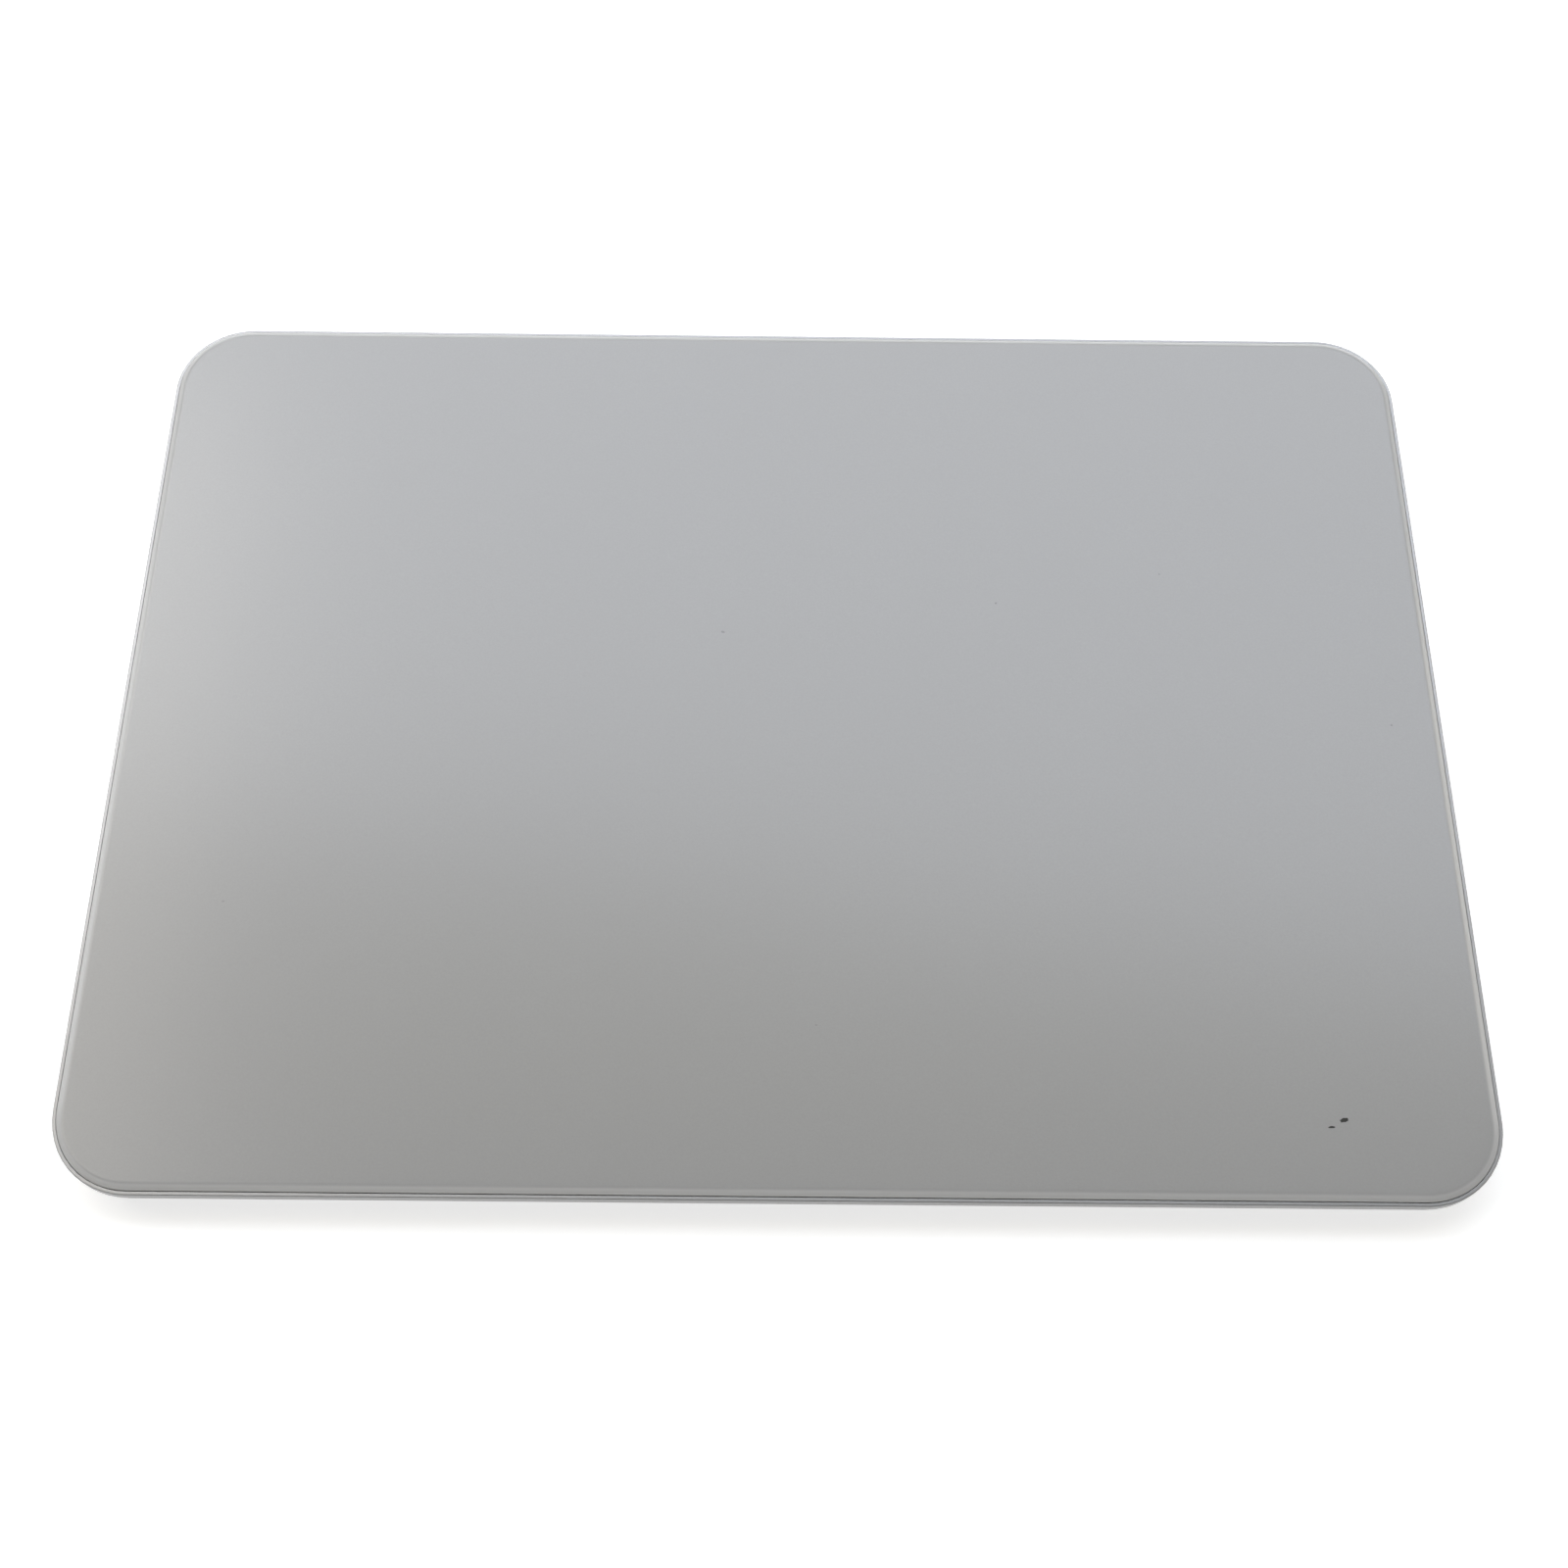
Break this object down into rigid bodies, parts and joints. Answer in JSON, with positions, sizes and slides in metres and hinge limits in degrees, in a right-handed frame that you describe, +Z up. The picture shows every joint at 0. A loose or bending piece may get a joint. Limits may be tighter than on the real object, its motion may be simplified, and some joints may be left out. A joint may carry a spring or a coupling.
{
  "type": "trackpad",
  "caption": "Cordless desk trackpad: bevelled white glass touch plate on force-sensing flexures in a wedge-shaped aluminium enclosure, with charging port and power switch at the rear.",
  "frame": {"origin": "middle of the footprint, on the desk under the feet", "axes": "+X to the user's right, +Y to the rear, where the pad is high, +Z up"},
  "size_m": [0.16, 0.115, 0.0108],
  "materials": {
    "anodised_aluminium": "bead-blasted, anodised",
    "white_glass": "satin, opaque white back print",
    "white_plastic": "fine moulded texture",
    "foot_rubber": "matt silicone rubber",
    "adhesive": "foam tape",
    "clear_adhesive": "bonding film",
    "cell_pouch": "laminate pouch",
    "circuit_board": "solder mask",
    "chip_resin": "moulded epoxy",
    "shield_steel": "tin-plated sheet",
    "spring_steel": "stamped sheet",
    "core_steel": "laminated iron",
    "screw_steel": "zinc-plated",
    "copper_winding": "enamelled copper wire",
    "flex_circuit": "polyimide film",
    "connector_plastic": "moulded",
    "antenna_ceramic": "fired, bare",
    "port_plastic": "moulded",
    "gold_plate": "gold-plated",
    "gauge_foil": "foil on film",
    "pad_silicone": "soft silicone"
  },
  "bodies": {
    "base": {"enclosure": "anodised_aluminium", "bottom_cover": "white_plastic", "cover_adhesive": "adhesive", "foot_front_left": "foot_rubber", "foot_front_right": "foot_rubber", "foot_rear_left": "foot_rubber", "foot_rear_right": "foot_rubber", "battery_cell": "cell_pouch", "battery_tape_left": "adhesive", "battery_tape_right": "adhesive", "protection_board": "circuit_board", "battery_lead": "flex_circuit", "logic_board": "circuit_board", "board_screws": "screw_steel", "main_controller": "chip_resin", "radio_shield": "shield_steel", "charge_controller": "chip_resin", "chip_antenna": "antenna_ceramic", "battery_connector": "connector_plastic", "touch_connector": "connector_plastic", "haptic_connector": "connector_plastic", "gauge_connector_left": "connector_plastic", "gauge_connector_right": "connector_plastic", "port_shell": "shield_steel", "port_tongue": "port_plastic", "port_contacts": "gold_plate", "switch_housing": "port_plastic", "haptic_core_left": "core_steel", "haptic_core_right": "core_steel", "haptic_coil_left": "copper_winding", "haptic_coil_right": "copper_winding", "haptic_bracket": "spring_steel", "haptic_screws": "screw_steel", "haptic_flex": "flex_circuit", "flexure_front_left": "spring_steel", "flexure_front_right": "spring_steel", "flexure_rear_left": "spring_steel", "flexure_rear_right": "spring_steel", "strain_gauge_front_left": "gauge_foil", "strain_gauge_front_right": "gauge_foil", "strain_gauge_rear_left": "gauge_foil", "strain_gauge_rear_right": "gauge_foil", "flexure_screws": "screw_steel", "gauge_flex_left": "flex_circuit", "gauge_flex_right": "flex_circuit", "touch_flex": "flex_circuit"},
    "press_stage": {"isolation_pad_front_left": "pad_silicone", "isolation_pad_front_right": "pad_silicone", "isolation_pad_rear_left": "pad_silicone", "isolation_pad_rear_right": "pad_silicone"},
    "touch_plate": {"touch_glass": "white_glass", "glass_adhesive": "clear_adhesive", "sensor_board": "circuit_board", "touch_controller_left": "chip_resin", "touch_controller_right": "chip_resin", "stiffener": "spring_steel", "haptic_armature": "core_steel"},
    "switch": {"switch_slider": "white_plastic"}
  },
  "joints": [
    {"name": "plate_press", "type": "slide", "parent": "base", "child": "press_stage", "axis": [0, 0.0521, -0.9986], "range_m": [0, 0.00025], "stiffness_N_per_m": 12000, "springref_m": -0.0002, "deforming": ["flexure_front_left", "flexure_front_right", "flexure_rear_left", "flexure_rear_right", "strain_gauge_front_left", "strain_gauge_front_right", "strain_gauge_rear_left", "strain_gauge_rear_right", "gauge_flex_left", "gauge_flex_right", "touch_flex"]},
    {"name": "haptic_shift", "type": "slide", "parent": "press_stage", "child": "touch_plate", "axis": [1, 0, 0], "range_m": [-0.00006, 0.00006], "stiffness_N_per_m": 30000},
    {"name": "power_switch", "type": "slide", "parent": "base", "child": "switch", "axis": [1, 0, 0], "range_m": [0, 0.002]}
  ]
}
